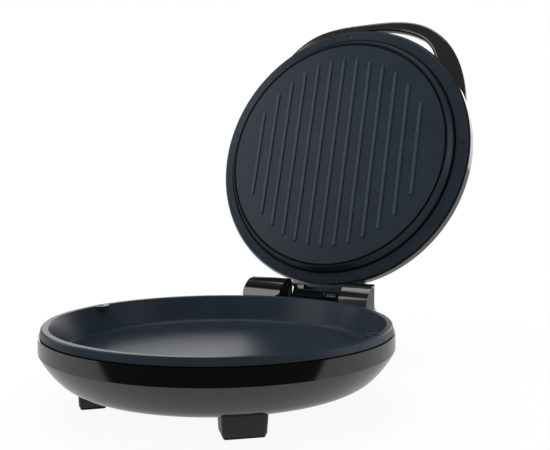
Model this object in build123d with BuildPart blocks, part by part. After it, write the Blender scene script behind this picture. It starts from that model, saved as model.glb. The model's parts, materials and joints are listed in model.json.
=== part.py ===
from build123d import *
import os
from math import atan2, cos, degrees, floor, radians, sin, sqrt

# An electric pizza maker: a round countertop cooker, 12 inch pan, with a ridged upper plate
# in a hinged lid. It stands open, as it does while a pizza is laid in the pan.
# Millimetres, +Z up. The origin is on the table, under the middle of the pan. The hinge is
# at the back (+Y), so the lid's handle comes down at the front (-Y) when it is closed.
# Heights in the base are measured from the pan's rim, and in the lid from the plate's flange.

# Pan
rim_height = 74.5            # pan rim above the table
pan_radius = 166.0           # outside of the rim
rim_width = 6.3
rim_chamfer = 1.0
wall_lean = 10.2             # how far the wall comes in on its way down
floor_round = 6.0            # round between wall and floor, across
floor_round_height = 4.0
pan_depth = 28.0
pan_wall = 3.0
skirt_flare = 1.1            # the rim's outer skirt widens downwards
skirt_depth = 6.7

# Housing and lid shell: an upright band, a crease, a rounded belly and a flat back
housing_step = 1.5           # housing stands out from the skirt
seam_gap = 0.8               # dark line between the pan's skirt and the housing
housing_wall = 2.6
band_height = 15.0
belly_insets = (5.3, 17.2, 44.6)      # middle of the belly, its end, edge of the flat
belly_drops = (9.1, 23.5, 32.9)       # the same, below the crease
lid_band_height = 11.0
lid_seam = 0.7               # plate edge to the lid's band

# Upper plate
lid_gap = 1.8                # flange level above the pan rim when closed
flange_reach = 0.5           # flange outside the pan's rim
flange_width = 14.5
flange_fall = 3.3            # flange slopes back towards its edge
plate_edge = 2.0
plate_wall = 2.2
plateau_height = 8.7         # ridged field above the flange
plateau_slope = 5.2
groove_inset = 2.2           # groove near the plateau's edge
groove_width = 1.5
groove_depth = 1.0
ridge_inset = 22.1           # ridges end this far inside the groove
ridge_pitch = 18.1
ridge_width = 4.8
ridge_height = 1.8
ridge_round = 1.4

# Handle loop: how far it stands out from the housing's radius, by angle from the side
handle_thickness = 8.0
handle_front_round = 3.5
handle_outline = ((20.5, -11.6), (39.6, 11.8), (53.5, 28.0), (65.3, 35.0), (90.0, 29.9))
slot_outline = ((44.3, -11.6), (50.3, -3.5), (59.6, 13.4), (73.3, 19.3), (90.0, 18.4))

# Hinge
open_angle = 105.8           # degrees, where the lid leans on its stop
hinge_reach = 23.15          # hinge axis behind the housing's band
hinge_drop = 9.35            # hinge axis below the pan rim
rod_radius = 3.0
rod_clearance = 0.05
rod_end_inset = 2.0
barrel_radius = 8.0
arm_half_width = 36.0
arm_shift = 8.0              # arm's middle, to the right of the pan's
arm_lip = 4.0                # arm's front lip above the closed flange
arm_lip_depth = 3.5
arm_top = 27.0               # arm's back corner above the hinge axis
arm_crown = 10.0             # and in front of it
arm_shoulder = 12.0          # wider above the towers, each side
knuckle_width = 13.5         # left end of the arm, beside the bridge
knuckle_level = 1.5          # its underside above the hinge axis when closed
knuckle_gap = 1.5
heel = (10.7, 15.5)          # corner of the closed arm that stops on the recess's floor
stop_gap = 0.33
bridge_gap = 2.25            # bridge to barrel
bridge_thickness = 7.0
bridge_top = 8.8
bridge_clearance = 1.2       # under the closed arm
bridge_chamfer = 0.8
window_size = (15.0, 4.0)
window_x = 32.0
window_drop = 4.4
bridge_hole_radius = 1.9
bridge_hole_x = 2.6
bridge_hole_drop = 8.6

# Towers and pod
tower_gap = 3.0              # arm to the towers and to the recess's sides
tower_outer_x = 82.0
tower_top = 18.0             # above the pan rim; the front is round about the hinge axis
tower_back_reach = 8.0       # back face behind the hinge axis
tower_wall = 2.4
tower_front_corner = 3.0     # upright corners of the outer side, and its upper edge
tower_back_corner = 14.0
tower_upper_corner = 3.0
tower_post_gap = 2.6         # wall to the posts
lid_swing_clearance = 1.2
pod_side_reach = 3.5         # pod outside the towers
pod_back_reach = 10.25       # pod behind the hinge axis
pod_top = -10.0
pod_wall = 4.0
pod_heel_height = 18.0
pod_heel_depth = 22.0
pod_corner = 20.0

# Feet
foot_inset = 34.2            # outer face inside the housing's radius
foot_width = 40.0
foot_depth = 28.0
foot_taper = 3.0
foot_corner = 4.0
foot_bottom_round = 1.6
foot_into_belly = 8.0        # the block runs up into the belly's round
front_foot_angle = 46.3      # degrees off the X axis
rear_foot_angle = 62.0
pad_thickness = 2.0
pad_inset = 1.0
pad_round = 1.2

# Heating parts
element_inset = 38.5         # ring inside the pan's floor
element_tube_radius = 3.3
element_leg_spacing = 24.0
element_bend_radius = 12.0
leg_gap = 2.0                # leg's end to the terminal block
seat_gap = 0.2               # between parts that only rest on each other
clamp_width = 12.0
clamp_strip = 1.2
clamp_tab = 7.0
reflector_inset = 19.5
reflector_brim = 18.0
reflector_rise = 4.6
reflector_sheet = 0.8
reflector_gap = 9.5          # below the element
lid_reflector_gap = 13.0
post_inset = 13.0            # reflector posts inside the element's ring
post_radius = 4.0
reflector_post_angles = (-90, 30, 150)
thermostat_offset = 46.0
thermostat_flange = (32.0, 14.0, 1.0)
thermostat_can = (8.0, 6.0)  # radius and height
thermostat_blade = (0.8, 5.0, 5.0)
thermostat_blade_x = 4.0
fuse_radius = 2.4
fuse_length = 26.0
fuse_place = (-40.0, -30.0)

# Screws
screw_radius = 1.6
screw_head_radius = 3.1
screw_head_height = 1.8
play = 0.1                   # round screws and bushes
thread_length = 6.0
pan_screw_inset = 0.6        # pan screws outside the mouth
pan_screw_shift = 4.0        # and behind the middle
pan_tab_radius = 9.3         # half-round tabs of the rim, round the screws
pan_tab_thickness = 3.0
pan_boss_radius = 5.2        # bosses under the tabs, and the housing's posts below them
pan_boss_depth = 10.0
pan_post_radius = 6.0
pan_screw_length = 18.0
pan_screw_sink = 0.4
plate_screw_inset = 6.9      # plate screws inside the flange's edge
plate_screw_shift = 7.5      # side screws sit this far towards the handle
plate_screw_length = 16.0
plate_screw_sink = 1.5
plate_post_radius = 4.5
plate_post_gap = 1.2
foot_screw_length = 13.0
foot_screw_shift = 5.0        # screw inside the foot's middle
arm_screw_spacing = 40.0
arm_screw_level = -10.0
arm_screw_length = 14.0

# Base details
clearance = 0.8
terminal_block = (30.0, 14.0, 11.0)
terminal_inset = 29.6        # block's middle inside the housing's radius
terminal_hole_radius = 2.0
terminal_hole_depth = 5.0
terminal_hole_pitch = 9.0
gland_x = 52.0
gland_rise = 3.0             # its middle above the pan's underside
gland_radius = 7.0
gland_flange_radius = 9.5
gland_flange = 2.5
gland_length = 22.0
gland_tail_radius = 6.0
gland_tail_taper = 4.0
cord_bore_radius = 3.3
wire_radius = 1.3
wire_spacing = 3.0
wire_bend = 4.0
vent_count = 12
vent_ring_radius = 52.0
vent_size = (20.0, 3.0)

# Lamps in the lid
lamp_spacing = 30.0
lamp_inset = 64.6            # lamps inside the housing's radius, towards the handle
lens_radius = 4.5
lens_stand = 1.0
lens_collar = 1.5
lamp_holder_margin = 16.0
lamp_holder_width = 14.0
lamp_holder_depth = 9.0
lamp_holder_corner = 3.0

# What follows from them
pan_mouth_radius = pan_radius - rim_width
wall_foot_radius = pan_mouth_radius - wall_lean
pan_floor_radius = wall_foot_radius - floor_round
pan_underside = -pan_depth - pan_wall
gland_drop = -pan_underside - gland_rise
skirt_radius = pan_radius + skirt_flare
housing_radius = skirt_radius + housing_step
housing_top = -skirt_depth - seam_gap
housing_crease = housing_top - band_height
housing_bottom = housing_crease - belly_drops[2]
flange_radius = pan_radius + flange_reach
plateau_foot_radius = flange_radius - flange_width
plateau_radius = plateau_foot_radius - plateau_slope
groove_radius = plateau_radius - groove_inset
plate_underside = plateau_height - plate_wall
ridge_circle_radius = groove_radius - ridge_inset
ridges_each_side = floor((ridge_circle_radius - 2 * ridge_width) / ridge_pitch)
lid_band_top = -flange_fall - plate_edge - lid_seam
lid_crease = lid_band_top - lid_band_height
lid_back = lid_crease - belly_drops[2]
inner_back = lid_back + housing_wall

hinge_back = housing_radius + hinge_reach
hinge_z = rim_height - hinge_drop
tilt = radians(open_angle)
heel_reach = heel[0] * sin(tilt) - heel[1] * cos(tilt)
recess_floor = -hinge_drop - heel_reach - stop_gap
tower_left_x = arm_shift - arm_half_width - tower_gap
tower_right_x = arm_shift + arm_half_width + tower_gap
bridge_left_x = arm_shift - arm_half_width + knuckle_width + knuckle_gap
tower_radius = tower_top + hinge_drop
bridge_back_y = hinge_back - barrel_radius - bridge_gap
bridge_front_y = bridge_back_y - bridge_thickness
tower_back_y = hinge_back + tower_back_reach
tower_screw_inset = tower_wall + post_radius + tower_post_gap
tower_screw_y = hinge_back - tower_radius / 2
rod_half_length = tower_outer_x - rod_end_inset
pod_half_width = tower_outer_x + pod_side_reach
pod_back_y = hinge_back + pod_back_reach
pod_bottom = housing_crease - belly_drops[1]

element_ring_radius = pan_floor_radius - element_inset
element_level = pan_underside - seat_gap - element_tube_radius
lid_element_level = plate_underside - seat_gap - element_tube_radius
reflector_radius = pan_floor_radius - reflector_inset
reflector_level = element_level - reflector_gap
lid_reflector_level = lid_element_level - lid_reflector_gap
post_ring_radius = element_ring_radius - post_inset
terminal_block_y = housing_radius - terminal_inset
terminal_pad_top = element_level - terminal_block[2]
element_leg_end = terminal_block_y - terminal_block[1] / 2 - leg_gap
foot_centre = housing_radius - foot_inset - foot_depth / 2
foot_screw_radius = foot_centre - foot_screw_shift
pan_screw_spots = [(side * (pan_mouth_radius + pan_screw_inset), pan_screw_shift) for side in (-1, 1)]
plate_screw_radius = flange_radius - plate_screw_inset
plate_screw_spots = [(-plate_screw_radius, plate_screw_shift), (plate_screw_radius, plate_screw_shift),
                     (0, plate_screw_radius)]
plate_post_top = -flange_fall - plate_edge - plate_post_gap
lamp_spots = [(side * lamp_spacing / 2, housing_radius - lamp_inset) for side in (-1, 1)]
foot_angles = {
    "foot_front_right": -front_foot_angle,
    "foot_front_left": -180 + front_foot_angle,
    "foot_rear_right": rear_foot_angle,
    "foot_rear_left": 180 - rear_foot_angle,
}
os.makedirs("parts", exist_ok=True)


def save(piece, name):
    """Label a finished piece and write its STEP file."""
    piece.part.label = name
    export_step(piece.part, f"parts/{name}.step")


def frame_section(frame):
    """Half-plane through the frame's axis: local x is the radius, local y the height."""
    return Plane(origin=frame.origin, x_dir=frame.x_dir, z_dir=frame.y_dir * -1)


def frame_axis(frame):
    """The frame's upright axis."""
    return Axis(frame.origin, frame.z_dir)


def opened(back, up):
    """A point of the closed lid, measured from the hinge axis, once the lid is open."""
    return (hinge_back + back * cos(tilt) + up * sin(tilt), hinge_z - back * sin(tilt) + up * cos(tilt))


# The base frame is at the pan's rim and the lid frame at the plate's flange. In both, local z
# points to the cooking side, and in the lid local y points to the handle.
base_frame = Plane(origin=(0, 0, rim_height), x_dir=(1, 0, 0), z_dir=(0, 0, 1))
lid_frame = Plane(origin=(0, *opened(-hinge_back, lid_gap + hinge_drop)), x_dir=(1, 0, 0),
                  z_dir=(0, -sin(tilt), -cos(tilt)))
# Side view of the lid about the hinge axis, as if it were closed: x back, y up.
arm_frame = Plane(origin=(0, hinge_back, hinge_z), x_dir=(0, cos(tilt), -sin(tilt)), z_dir=(1, 0, 0))


def bowl(frame, top, crease, wall):
    """Solid inside a bowl's outer skin, or inside its inner skin if a wall is given."""
    overlap = 2 * wall + 1
    room_above = 10 * wall
    drops = [crease - drop for drop in belly_drops]
    radii = [housing_radius - inset for inset in belly_insets]
    with BuildPart() as body:
        with BuildSketch(frame_section(frame)):
            with BuildLine():
                Polyline((-overlap, drops[2]), (-overlap, top + room_above),
                         (housing_radius, top + room_above), (housing_radius, crease))
                side = ThreePointArc((housing_radius, crease), (radii[0], drops[0]), (radii[1], drops[1]))
                TangentArc(side @ 1, (radii[2], drops[2]), tangent=side % 1)
                Line((radii[2], drops[2]), (-overlap, drops[2]))
            make_face()
            if wall:
                offset(amount=-wall)
            with Locations((housing_radius, 0)):
                Rectangle(2 * housing_radius, 4 * housing_radius, mode=Mode.INTERSECT)
        revolve(axis=frame_axis(frame))
    return body.part


base_outside = bowl(base_frame, housing_top, housing_crease, 0)
base_inside = bowl(base_frame, housing_top, housing_crease, housing_wall)
lid_outside = bowl(lid_frame, lid_band_top, lid_crease, 0)
lid_inside = bowl(lid_frame, lid_band_top, lid_crease, housing_wall)


def ring_spots(radius, angles):
    """Points on a circle at the given angles."""
    return [(radius * cos(radians(angle)), radius * sin(radians(angle))) for angle in angles]


reflector_spots = ring_spots(post_ring_radius, reflector_post_angles)
foot_screw_spots = ring_spots(foot_screw_radius, foot_angles.values())
tower_screw_spots = [(x, tower_screw_y) for x in
                     (-tower_outer_x + tower_screw_inset, tower_left_x - tower_screw_inset,
                      tower_right_x + tower_screw_inset, tower_outer_x - tower_screw_inset)]
gland_plane = Plane(origin=(-gland_x, pod_back_y, rim_height - gland_drop), x_dir=(1, 0, 0),
                    z_dir=(0, 1, 0))


def pod_slice(left, right, wall, top):
    """Pod between two planes across X, inset by a wall from its back and its heel."""
    front_y = housing_radius / 2
    back_y = pod_back_y - wall
    bottom = rim_height + pod_bottom + wall
    with BuildPart() as piece:
        with BuildSketch(Plane.YZ.offset(left)):
            with BuildLine():
                Polyline((front_y, bottom), (front_y, rim_height + top), (back_y, rim_height + top),
                         (back_y, rim_height + pod_bottom + pod_heel_height))
                TangentArc((back_y, rim_height + pod_bottom + pod_heel_height),
                           (pod_back_y - pod_heel_depth, bottom), tangent=(0, -1))
                Line((pod_back_y - pod_heel_depth, bottom), (front_y, bottom))
            make_face()
        extrude(amount=right - left)
    return piece.part


# Hinge pod: the block behind the bowl, round at its heel and at its upright corners.
with BuildPart() as pod:
    add(pod_slice(-pod_half_width, pod_half_width, 0, pod_top))
    with BuildSketch(base_frame.offset(pod_bottom)):
        with Locations((0, pod_back_y - housing_radius / 2)):
            RectangleRounded(2 * pod_half_width, housing_radius, pod_corner)
    extrude(amount=pod_top - pod_bottom, mode=Mode.INTERSECT)

# Rooms inside the pod, outside the bowl: left, right and under the arm's recess.
with BuildPart() as pod_rooms:
    add(pod_slice(-tower_outer_x, tower_left_x - pod_wall, pod_wall, pod_top - pod_wall))
    add(pod_slice(tower_left_x, tower_right_x, pod_wall, recess_floor - pod_wall))
    add(pod_slice(tower_right_x + pod_wall, tower_outer_x, pod_wall, pod_top - pod_wall))
    with BuildSketch(base_frame.offset(pod_bottom)):
        with Locations((0, pod_back_y - housing_radius / 2)):
            RectangleRounded(2 * (pod_half_width - pod_wall), housing_radius - 2 * pod_wall,
                             pod_corner - pod_wall)
    extrude(amount=pod_top - pod_bottom, mode=Mode.INTERSECT)
    add(base_outside, mode=Mode.SUBTRACT)

# Posts inside the base: under the pan's bosses, the reflector and the terminal block.
with BuildPart() as base_posts:
    with BuildSketch(base_frame.offset(-pan_boss_depth)):
        with Locations(pan_screw_spots):
            Circle(pan_post_radius)
    extrude(amount=housing_bottom + pan_boss_depth)
    with BuildSketch(base_frame.offset(housing_bottom)):
        with Locations(reflector_spots):
            Circle(post_radius)
    extrude(amount=reflector_level - housing_bottom)
    with BuildSketch(base_frame.offset(housing_bottom)):
        with Locations((0, terminal_block_y)):
            Rectangle(terminal_block[0], terminal_block[1])
    extrude(amount=terminal_pad_top - housing_bottom)
    # clear of the pan's wall and floor
    with BuildSketch(frame_section(base_frame)):
        with BuildLine():
            wall_top = pan_mouth_radius + pan_wall + clearance
            Polyline((0, 0), (wall_top, 0), (wall_top, -pan_wall),
                     (wall_foot_radius + pan_wall + clearance, -pan_depth + pan_wall),
                     (wall_foot_radius, pan_underside - clearance), (0, pan_underside - clearance),
                     close=True)
        make_face()
    revolve(axis=frame_axis(base_frame), mode=Mode.SUBTRACT)
    add(base_outside, mode=Mode.INTERSECT)

# Housing of the base: a moulded bowl with the hinge pod at its back.
with BuildPart() as base_housing:
    add(base_outside)
    add(pod.part)
    add(base_inside, mode=Mode.SUBTRACT)
    add(pod_rooms.part, mode=Mode.SUBTRACT)
    # bush in the back wall, and a passage for the leads through the bowl's wall
    with BuildSketch(gland_plane.offset(pod_wall)):
        Circle(gland_radius)
    extrude(amount=-3 * pod_wall, mode=Mode.SUBTRACT)
    with BuildSketch(gland_plane.offset(-2 * pod_wall)):
        Circle(gland_tail_radius)
    extrude(amount=terminal_block_y - pod_back_y, mode=Mode.SUBTRACT)
    # recess for the lid's arm, open at the top and the back
    with BuildSketch(base_frame.offset(recess_floor)):
        with Locations((arm_shift, pod_back_y)):
            Rectangle(tower_right_x - tower_left_x, 2 * (pod_back_y - bridge_back_y))
    extrude(amount=-recess_floor, mode=Mode.SUBTRACT)
    # saddle for the hinge rod
    with BuildSketch(Plane.YZ.offset(-tower_outer_x)):
        with Locations((hinge_back, hinge_z)):
            Circle(rod_radius + rod_clearance)
    extrude(amount=2 * tower_outer_x, mode=Mode.SUBTRACT)
    add(base_posts.part)
    # screw holes
    with BuildSketch(base_frame.offset(-pan_boss_depth)):
        with Locations(pan_screw_spots):
            Circle(screw_radius + play)
    extrude(amount=pan_boss_depth - pan_screw_length - pan_wall, mode=Mode.SUBTRACT)
    with BuildSketch(base_frame.offset(reflector_level)):
        with Locations(reflector_spots):
            Circle(screw_radius)
    extrude(amount=-thread_length, mode=Mode.SUBTRACT)
    with BuildSketch(base_frame.offset(housing_bottom)):
        with Locations(foot_screw_spots):
            Circle(screw_radius + play)
    extrude(amount=housing_wall, mode=Mode.SUBTRACT)
    with BuildSketch(base_frame.offset(pod_top)):
        with Locations(tower_screw_spots):
            Circle(screw_radius + play)
    extrude(amount=-pod_wall, mode=Mode.SUBTRACT)
    # vents in the bottom
    with BuildSketch(base_frame.offset(housing_bottom)):
        with PolarLocations(vent_ring_radius, vent_count):
            SlotOverall(vent_size[0], vent_size[1])
    extrude(amount=housing_wall, mode=Mode.SUBTRACT)
save(base_housing, "base_housing")


def turned_plane(height, angle):
    """Level plane at a height above the table, with its x axis turned by an angle."""
    x_dir = (cos(radians(angle)), sin(radians(angle)), 0)
    return Plane(origin=(0, 0, height), x_dir=x_dir, z_dir=(0, 0, 1))


# Feet: tapered blocks that follow the belly above, each with its pad and its screw.
foot_top = rim_height + housing_bottom + foot_into_belly
foot_bottom_size = (foot_depth - foot_taper, foot_width - foot_taper)
for name, angle in foot_angles.items():
    with BuildPart() as foot:
        with BuildSketch(turned_plane(pad_thickness, angle)):
            with Locations((foot_centre, 0)):
                RectangleRounded(*foot_bottom_size, foot_corner)
        with BuildSketch(turned_plane(foot_top, angle)):
            with Locations((foot_centre, 0)):
                RectangleRounded(foot_depth, foot_width, foot_corner)
        loft()
        fillet(foot.faces().sort_by(Axis.Z)[0].edges(), radius=foot_bottom_round)
        with BuildSketch(turned_plane(foot_top, angle)):
            with Locations((foot_screw_radius, 0)):
                Circle(screw_radius + play)
        extrude(amount=-foot_into_belly - foot_screw_length + play, mode=Mode.SUBTRACT)
        add(base_outside, mode=Mode.SUBTRACT)
    save(foot, name)

with BuildPart() as foot_pads:
    for angle in foot_angles.values():
        with BuildSketch(turned_plane(0, angle)):
            with Locations((foot_centre, 0)):
                RectangleRounded(foot_bottom_size[0] - 2 * pad_inset, foot_bottom_size[1] - 2 * pad_inset,
                                 foot_corner - pad_inset)
        extrude(amount=pad_thickness)
    fillet(foot_pads.faces().group_by(Axis.Z)[0].edges(), radius=pad_round)
save(foot_pads, "foot_pads")

# Screw bosses of the pan, outside its wall, and the tabs of the rim above them.
with BuildPart() as pan_bosses:
    with BuildSketch(base_frame):
        with Locations(pan_screw_spots):
            Circle(pan_boss_radius)
    extrude(amount=-pan_boss_depth)
    with BuildSketch(frame_section(base_frame)):
        with BuildLine():
            Polyline((0, 0), (pan_mouth_radius + pan_wall / 2, 0),
                     (wall_foot_radius + pan_wall / 2, -pan_depth), (0, -pan_depth), close=True)
        make_face()
    revolve(axis=frame_axis(base_frame), mode=Mode.SUBTRACT)
    with BuildSketch(base_frame):
        with Locations(pan_screw_spots):
            Circle(pan_tab_radius)
        Circle(pan_radius - rim_chamfer, mode=Mode.INTERSECT)
    extrude(amount=-pan_tab_thickness)

# Pan: one deep die-cast dish with a rim, an outer skirt and two screw tabs.
with BuildPart() as base_pan:
    with BuildSketch(frame_section(base_frame)):
        with BuildLine():
            floor_end = (pan_floor_radius, -pan_depth)
            wall_start = (wall_foot_radius, -pan_depth + floor_round_height)
            Line((0, -pan_depth), floor_end)
            TangentArc(floor_end, wall_start, tangent=(1, 0))
            Polyline(wall_start, (pan_mouth_radius - rim_chamfer / 2, -rim_chamfer),
                     (pan_mouth_radius + rim_chamfer / 2, 0), (pan_radius - rim_chamfer, 0),
                     (pan_radius, -rim_chamfer), (skirt_radius, -skirt_depth),
                     (skirt_radius - pan_wall, -skirt_depth),
                     (skirt_radius - pan_wall - clearance, -pan_wall),
                     (pan_mouth_radius + pan_wall, -pan_wall),
                     (wall_foot_radius + pan_wall, -pan_depth + pan_wall),
                     (pan_floor_radius + pan_wall / 2, pan_underside), (0, pan_underside), (0, -pan_depth))
        make_face()
    revolve(axis=frame_axis(base_frame))
    add(pan_bosses.part)
    with Locations(base_frame):
        with Locations(pan_screw_spots):
            CounterBoreHole(radius=screw_radius + play, counter_bore_radius=screw_head_radius + 2 * play,
                            counter_bore_depth=screw_head_height + pan_screw_sink, depth=pan_screw_length)
save(base_pan, "base_pan")


def screws(plane, spots, length, shank=screw_radius - play):
    """Screws with flat heads below the plane, shanks further down, and a cross recess."""
    with BuildPart() as set_of_screws:
        with BuildSketch(plane):
            with Locations(spots):
                Circle(screw_head_radius)
        extrude(amount=-screw_head_height)
        with BuildSketch(plane.offset(-screw_head_height)):
            with Locations(spots):
                Circle(shank)
        extrude(amount=screw_head_height - length)
        with BuildSketch(plane):
            with Locations(spots):
                Rectangle(1.1 * screw_head_radius, 0.3 * screw_head_radius)
                Rectangle(0.3 * screw_head_radius, 1.1 * screw_head_radius)
        extrude(amount=-screw_head_height / 2, mode=Mode.SUBTRACT)
    return set_of_screws


foot_screw_plane = base_frame.offset(housing_bottom + housing_wall + screw_head_height)
save(screws(base_frame.offset(-pan_screw_sink), pan_screw_spots, pan_screw_length), "pan_screws")
save(screws(foot_screw_plane, foot_screw_spots, foot_screw_length), "foot_screws")


def heating_element(frame, level, side):
    """Sheathed ring under a plate, with two straight legs; side is 1 or -1 along local y."""
    ring = frame.offset(level)
    end_angle = degrees(atan2(element_ring_radius, element_leg_spacing / 2 + element_bend_radius))
    end_x, end_y = ring_spots(element_ring_radius, (end_angle,))[0]
    with BuildPart() as half:
        with BuildLine(ring):
            CenterArc((0, 0), element_ring_radius, -90, 90 + end_angle)
            JernArc(start=(end_x, end_y), tangent=(-end_y, end_x), radius=element_bend_radius,
                    arc_size=-end_angle)
        with BuildSketch(Plane(origin=ring.from_local_coords((0, -element_ring_radius, 0)),
                               x_dir=ring.z_dir, z_dir=ring.x_dir)):
            Circle(element_tube_radius)
        sweep()
    with BuildPart() as element:
        add(half.part)
        end = half.faces().filter_by(GeomType.PLANE).sort_by(Axis(frame.origin, frame.y_dir))[-1]
        extrude(end, amount=element_leg_end - frame.to_local_coords(end.center()).Y)
        mirror(about=Plane(origin=frame.origin, z_dir=(1, 0, 0)))
    if side > 0:
        return element
    with BuildPart() as turned:
        mirror(element.part, about=Plane(origin=frame.origin, z_dir=frame.y_dir))
    return turned


def element_clamps(frame, underside, angles):
    """Straps that hold the ring against the plate, with their tabs on the plate."""
    opening_depth = 2 * (element_tube_radius + seat_gap)
    strap_depth = opening_depth + clamp_strip
    strap_width = 2 * (element_tube_radius + seat_gap + clamp_strip)
    with BuildPart() as clamps:
        for angle in angles:
            x_dir = frame.x_dir * cos(radians(angle)) + frame.y_dir * sin(radians(angle))
            turned = Plane(origin=frame.origin, x_dir=x_dir, z_dir=frame.z_dir)
            with BuildSketch(frame_section(turned).offset(-clamp_width / 2)):
                with Locations((element_ring_radius, underside - strap_depth / 2)):
                    Rectangle(strap_width, strap_depth)
                with Locations((element_ring_radius, underside - clamp_strip / 2)):
                    Rectangle(strap_width + 2 * clamp_tab, clamp_strip)
                with Locations((element_ring_radius, underside - opening_depth / 2)):
                    Rectangle(strap_width - 2 * clamp_strip, opening_depth, mode=Mode.SUBTRACT)
            extrude(amount=clamp_width)
    return clamps


def reflector(frame, level):
    """Thin dished sheet behind the element."""
    flat_radius = reflector_radius - reflector_brim
    brim = level + reflector_rise
    with BuildPart() as sheet:
        with BuildSketch(frame_section(frame)):
            with BuildLine():
                Polyline((0, level), (flat_radius, level), (reflector_radius, brim),
                         (reflector_radius, brim + reflector_sheet), (flat_radius, level + reflector_sheet),
                         (0, level + reflector_sheet), close=True)
            make_face()
        revolve(axis=frame_axis(frame))
        with BuildSketch(frame.offset(level)):
            with Locations(reflector_spots):
                Circle(screw_radius + play)
        extrude(amount=reflector_sheet, mode=Mode.SUBTRACT)
    return sheet


def reflector_screws(frame, level):
    """Screws that hold the reflector on its posts."""
    head_top = frame.offset(level + reflector_sheet + screw_head_height)
    return screws(head_top, reflector_spots, screw_head_height + thread_length)


def thermostat(frame, underside):
    """Disc thermostat: its flange lies on the plate's underside, with two blades below."""
    flange_length, flange_across, flange = thermostat_flange
    can_radius, can_height = thermostat_can
    blade_thickness, blade_width, blade_length = thermostat_blade
    can_end = underside - flange - can_height
    with BuildPart() as switch:
        with BuildSketch(frame.offset(underside)):
            with Locations((thermostat_offset, 0)):
                SlotOverall(flange_length, flange_across)
        extrude(amount=-flange)
        with BuildSketch(frame.offset(underside - flange)):
            with Locations((thermostat_offset, 0)):
                Circle(can_radius)
        extrude(amount=-can_height)
        with BuildSketch(frame.offset(can_end)):
            with Locations((thermostat_offset, 0)):
                with GridLocations(2 * thermostat_blade_x, 0, 2, 1):
                    Rectangle(blade_thickness, blade_width)
        extrude(amount=-blade_length)
    return switch


save(heating_element(base_frame, element_level, 1), "base_heating_element")
save(element_clamps(base_frame, pan_underside, (-90, 0, 180)), "base_element_clamps")
save(reflector(base_frame, reflector_level), "base_reflector")
save(reflector_screws(base_frame, reflector_level), "base_reflector_screws")
save(thermostat(base_frame, pan_underside), "base_thermostat")

# Thermal fuse: a small sleeve that lies against the pan.
with BuildPart() as thermal_fuse:
    with BuildSketch(Plane.XZ.offset(-fuse_place[1])):
        with Locations((fuse_place[0], rim_height + pan_underside - seat_gap - fuse_radius)):
            Circle(fuse_radius)
    extrude(amount=fuse_length)
save(thermal_fuse, "thermal_fuse")

# Terminal block, on its pad behind the element's legs.
with BuildPart() as terminal_strip:
    with BuildSketch(base_frame.offset(terminal_pad_top)):
        with Locations((0, terminal_block_y)):
            RectangleRounded(terminal_block[0], terminal_block[1], 1)
    extrude(amount=terminal_block[2])
    with BuildSketch(base_frame.offset(terminal_pad_top + terminal_block[2])):
        with Locations((0, terminal_block_y)):
            with GridLocations(terminal_hole_pitch, 0, 3, 1):
                Circle(terminal_hole_radius)
    extrude(amount=-terminal_hole_depth, mode=Mode.SUBTRACT)
save(terminal_strip, "terminal_block")

# Cord gland: a flanged bush in the pod's back wall.
with BuildPart() as cord_gland:
    with BuildSketch(gland_plane):
        Circle(gland_flange_radius)
    extrude(amount=gland_flange)
    with BuildSketch(gland_plane.offset(gland_flange)):
        Circle(gland_tail_radius)
    extrude(amount=gland_length / 2 - gland_flange, taper=gland_tail_taper)
    with BuildSketch(gland_plane):
        Circle(gland_radius - play)
    extrude(amount=-gland_length / 2)
    with BuildSketch(gland_plane.offset(-gland_length / 2)):
        Circle(cord_bore_radius)
    extrude(amount=gland_length, mode=Mode.SUBTRACT)
save(cord_gland, "cord_gland")

# Power leads, from inside the gland through the bowl's wall to the terminal block.
with BuildPart() as power_leads:
    for shift in (-wire_spacing / 2, wire_spacing / 2):
        lead_x = -gland_x + shift
        lead_z = rim_height - gland_drop
        lead_start = (lead_x, pod_back_y - gland_length / 2 - wire_spacing, lead_z)
        block_side = -terminal_block[0] / 2
        block_z = rim_height + terminal_pad_top + terminal_block[2] / 2
        with BuildLine() as route:
            FilletPolyline(lead_start, (lead_x, terminal_block_y + wire_bend + shift, lead_z),
                           (block_side - terminal_block[1], terminal_block_y + shift, block_z),
                           (block_side, terminal_block_y + shift, block_z), radius=wire_bend)
        with BuildSketch(Plane(origin=lead_start, z_dir=(0, -1, 0))):
            Circle(wire_radius)
        sweep(path=route.line)
save(power_leads, "power_leads")


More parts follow.
